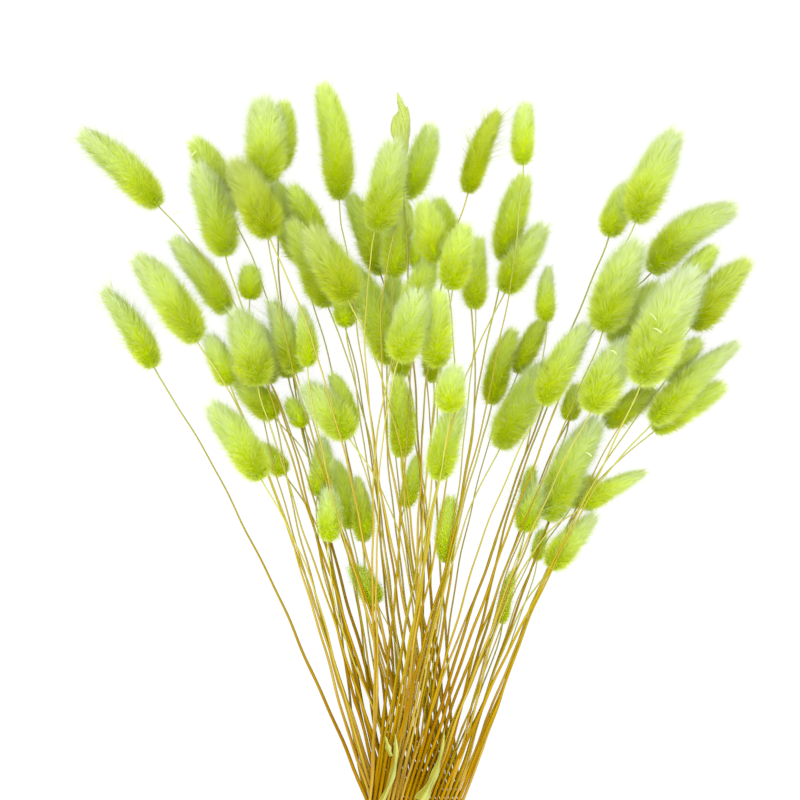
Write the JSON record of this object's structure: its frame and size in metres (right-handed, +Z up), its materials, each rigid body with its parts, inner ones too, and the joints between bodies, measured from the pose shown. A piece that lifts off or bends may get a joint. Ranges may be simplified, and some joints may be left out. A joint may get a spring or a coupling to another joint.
{
  "type": "dried bunny tail grass bunch",
  "caption": "Loose bunch of dried bunny tail grass lying down: soft egg-shaped yellow-green heads fanned out on thin golden stems that meet at a narrow waist.",
  "frame": {"origin": "bottom centre of the bunch's box, on the surface that it lies on", "axes": "+Y along the bunch from the cut ends to the flower heads, +X across the fan of heads, +Z up from the surface"},
  "size_m": [0.3727, 0.5207, 0.0969],
  "materials": {
    "flower": "matt dried plant: soft yellow-green hairs on the head, golden straw on the stem",
    "leaf": "matt dried leaf, pale yellow-green"
  },
  "bodies": {
    "root": {"flowers_lower_01": "flower", "flowers_lower_02": "flower", "flowers_lower_03": "flower", "flowers_lower_04": "flower", "flowers_lower_05": "flower", "flowers_lower_06": "flower", "flowers_lower_07": "flower", "flowers_lower_08": "flower", "flowers_lower_09": "flower", "flowers_lower_10": "flower", "flowers_lower_11": "flower", "flowers_lower_12": "flower", "flowers_lower_13": "flower", "flowers_lower_14": "flower", "flowers_lower_15": "flower", "flowers_lower_16": "flower", "flowers_lower_17": "flower", "flowers_lower_18": "flower", "flowers_lower_19": "flower", "flowers_lower_20": "flower", "flowers_lower_21": "flower", "flowers_lower_22": "flower", "flowers_upper_01": "flower", "flowers_upper_02": "flower", "flowers_upper_03": "flower", "flowers_upper_04": "flower", "flowers_upper_05": "flower", "flowers_upper_06": "flower", "flowers_upper_07": "flower", "flowers_upper_08": "flower", "flowers_upper_09": "flower", "flowers_upper_10": "flower", "flowers_upper_11": "flower", "flowers_upper_12": "flower", "flowers_upper_13": "flower", "flowers_upper_14": "flower", "flowers_upper_15": "flower", "flowers_upper_16": "flower", "flowers_upper_17": "flower", "flowers_upper_18": "flower", "flowers_upper_19": "flower", "flowers_upper_20": "flower", "flowers_upper_21": "flower", "flowers_upper_22": "flower", "leaf_left": "leaf", "leaf_right": "leaf", "leaf_small": "leaf"}
  },
  "joints": []
}
